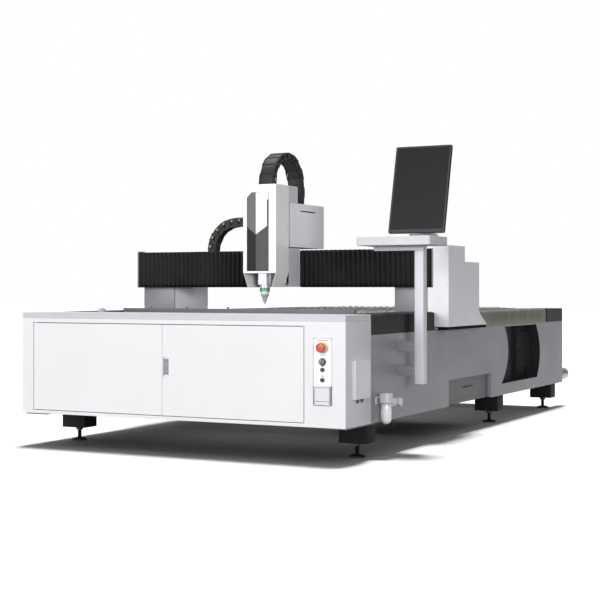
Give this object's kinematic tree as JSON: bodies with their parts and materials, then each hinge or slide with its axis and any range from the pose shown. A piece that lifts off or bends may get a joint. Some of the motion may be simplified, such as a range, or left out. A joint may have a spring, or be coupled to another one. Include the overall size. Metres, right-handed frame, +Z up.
{
  "type": "flatbed gantry laser cutting machine",
  "caption": "Flatbed gantry laser cutting machine with a front electrics cabinet, bellows-covered rails, a slat table, a lifting head and an operator console.",
  "frame": {"origin": "middle of the machine's footprint box, on the floor", "axes": "+X to the operator console's side, +Y from the front cabinet to the rear panel, +Z up"},
  "size_m": [2.665, 4.597, 1.955],
  "materials": {
    "white_paint": "satin powder coat",
    "cover_white": "satin powder coat",
    "grey_paint": "satin powder coat",
    "light_grey_paint": "satin powder coat",
    "dark_frame_paint": "matt paint",
    "black_paint": "matt paint",
    "gantry_grey_paint": "satin paint",
    "lilac_paint": "satin powder coat",
    "mild_steel": "hot rolled, heat tinted",
    "ground_steel": "ground",
    "black_steel": "black oxide",
    "galvanised_steel": "zinc plated",
    "cast_aluminium": "bead blasted",
    "machined_aluminium": "machined",
    "anodised_aluminium": "clear anodised",
    "copper": "turned copper",
    "yellow_plastic": "gloss",
    "red_plastic": "gloss",
    "green_plastic": "gloss",
    "black_plastic": "fine texture",
    "grey_plastic": "fine texture",
    "white_plastic": "gloss",
    "chain_plastic": "glass-filled polyamide",
    "motor_black": "matt paint",
    "bellows_cloth": "coated cloth",
    "smoked_acrylic": "polished",
    "screen_glass": "polished"
  },
  "bodies": {
    "bed": {"bed_frame": "dark_frame_paint", "front_cabinet": "white_paint", "cabinet_lid": "light_grey_paint", "door_pivots": "ground_steel", "laser_source": "black_paint", "drive_rack": "grey_paint", "control_plate": "light_grey_paint", "switch_collars": "yellow_plastic", "socket_box": "light_grey_paint", "junction_box": "light_grey_paint", "left_side_panel": "grey_paint", "right_side_panel": "grey_paint", "recess_liner": "black_paint", "rear_panel": "light_grey_paint", "exhaust_spigot": "galvanised_steel", "levelling_feet": "black_steel", "slat_frame": "dark_frame_paint", "slats": "mild_steel", "y_rails": "ground_steel", "y_racks": "ground_steel", "bellows_end_boxes": "black_paint", "filter_body": "cast_aluminium", "filter_bowl": "white_plastic", "console_post": "lilac_paint", "console_tray": "white_paint", "monitor_stand": "black_plastic", "front_bellows": "bellows_cloth", "rear_bellows": "bellows_cloth"},
    "left_door": {"left_door": "white_paint"},
    "right_door": {"right_door": "white_paint"},
    "latch": {"latch_paddle": "grey_plastic"},
    "estop": {"estop_button": "red_plastic"},
    "mode_switch": {"mode_knob": "black_plastic"},
    "start": {"start_button": "green_plastic"},
    "stop": {"stop_button": "red_plastic"},
    "socket_lid": {"socket_flap": "light_grey_paint"},
    "drawer": {"slag_drawer": "black_paint"},
    "air_valve": {"air_valve_knob": "cast_aluminium"},
    "monitor": {"monitor_case": "black_plastic", "monitor_screen": "screen_glass"},
    "gantry": {"gantry_beam": "gantry_grey_paint", "gantry_legs": "gantry_grey_paint", "drive_cover": "cover_white", "y_bearing_blocks": "ground_steel", "y_drives": "motor_black", "x_rails": "ground_steel", "left_beam_bellows": "bellows_cloth", "right_beam_bellows": "bellows_cloth", "x_chain_runs": "chain_plastic"},
    "x_chain_loop": {"x_chain_bend": "chain_plastic"},
    "carriage": {"x_carriage": "machined_aluminium", "head_cover": "cover_white", "head_window": "smoked_acrylic", "saddle_cover": "cover_white", "z_drive": "motor_black", "z_chain_runs": "chain_plastic"},
    "z_chain_loop": {"z_chain_bend": "chain_plastic"},
    "head": {"z_slide": "machined_aluminium", "cutting_head": "anodised_aluminium", "nozzle": "copper"}
  },
  "joints": [
    {"name": "gantry_travel", "type": "slide", "parent": "bed", "child": "gantry", "axis": [0, 1, 0], "range_m": [-0.45, 1.78], "deforming": ["front_bellows", "rear_bellows"]},
    {"name": "head_travel", "type": "slide", "parent": "gantry", "child": "carriage", "axis": [1, 0, 0], "range_m": [-0.75, 0.75], "deforming": ["left_beam_bellows", "right_beam_bellows", "x_chain_runs"]},
    {"name": "cross_chain_bend", "type": "slide", "parent": "gantry", "child": "x_chain_loop", "axis": [1, 0, 0], "range_m": [-0.375, 0.375]},
    {"name": "head_lift", "type": "slide", "parent": "carriage", "child": "head", "axis": [0, 0, 1], "range_m": [-0.01, 0.11], "deforming": ["z_chain_runs"]},
    {"name": "head_chain_bend", "type": "slide", "parent": "carriage", "child": "z_chain_loop", "axis": [0, 0, 1], "range_m": [-0.005, 0.055]},
    {"name": "left_door_hinge", "type": "hinge", "parent": "bed", "child": "left_door", "pos_m": [-1.1745, -2.2535, 0.516], "axis": [0, 0, -1], "range_deg": [0, 110]},
    {"name": "right_door_hinge", "type": "hinge", "parent": "bed", "child": "right_door", "pos_m": [0.7475, -2.2535, 0.516], "axis": [0, 0, 1], "range_deg": [0, 110]},
    {"name": "latch_pull", "type": "hinge", "parent": "right_door", "child": "latch", "pos_m": [-0.1825, -2.2545, 0.578], "axis": [-1, 0, 0], "range_deg": [0, 35], "stiffness_Nm_per_rad": 0.4},
    {"name": "estop_press", "type": "slide", "parent": "bed", "child": "estop", "axis": [0, 1, 0], "range_m": [0, 0.006]},
    {"name": "mode_turn", "type": "hinge", "parent": "bed", "child": "mode_switch", "pos_m": [0.8785, -2.2715, 0.593], "axis": [0, 1, 0], "range_deg": [-45, 45]},
    {"name": "start_press", "type": "slide", "parent": "bed", "child": "start", "axis": [0, 1, 0], "range_m": [0, 0.003], "stiffness_N_per_m": 600},
    {"name": "stop_press", "type": "slide", "parent": "bed", "child": "stop", "axis": [0, 1, 0], "range_m": [0, 0.003], "stiffness_N_per_m": 600},
    {"name": "socket_lid_hinge", "type": "hinge", "parent": "bed", "child": "socket_lid", "pos_m": [0.8785, -2.2705, 0.451], "axis": [-1, 0, 0], "range_deg": [0, 110]},
    {"name": "drawer_slide", "type": "slide", "parent": "bed", "child": "drawer", "axis": [1, 0, 0], "range_m": [0, 0.7]},
    {"name": "air_valve_turn", "type": "hinge", "parent": "bed", "child": "air_valve", "pos_m": [1.0745, -1.6765, 0.329], "axis": [1, 0, 0], "range_deg": [0, 270]},
    {"name": "monitor_tilt", "type": "hinge", "parent": "bed", "child": "monitor", "pos_m": [1.1485, -1.4015, 1.591], "axis": [1, 0, 0], "range_deg": [-16, 9]}
  ],
  "couplings": [
    {"joint": "cross_chain_bend", "follows": "head_travel", "ratio": 0.5},
    {"joint": "head_chain_bend", "follows": "head_lift", "ratio": 0.5}
  ]
}
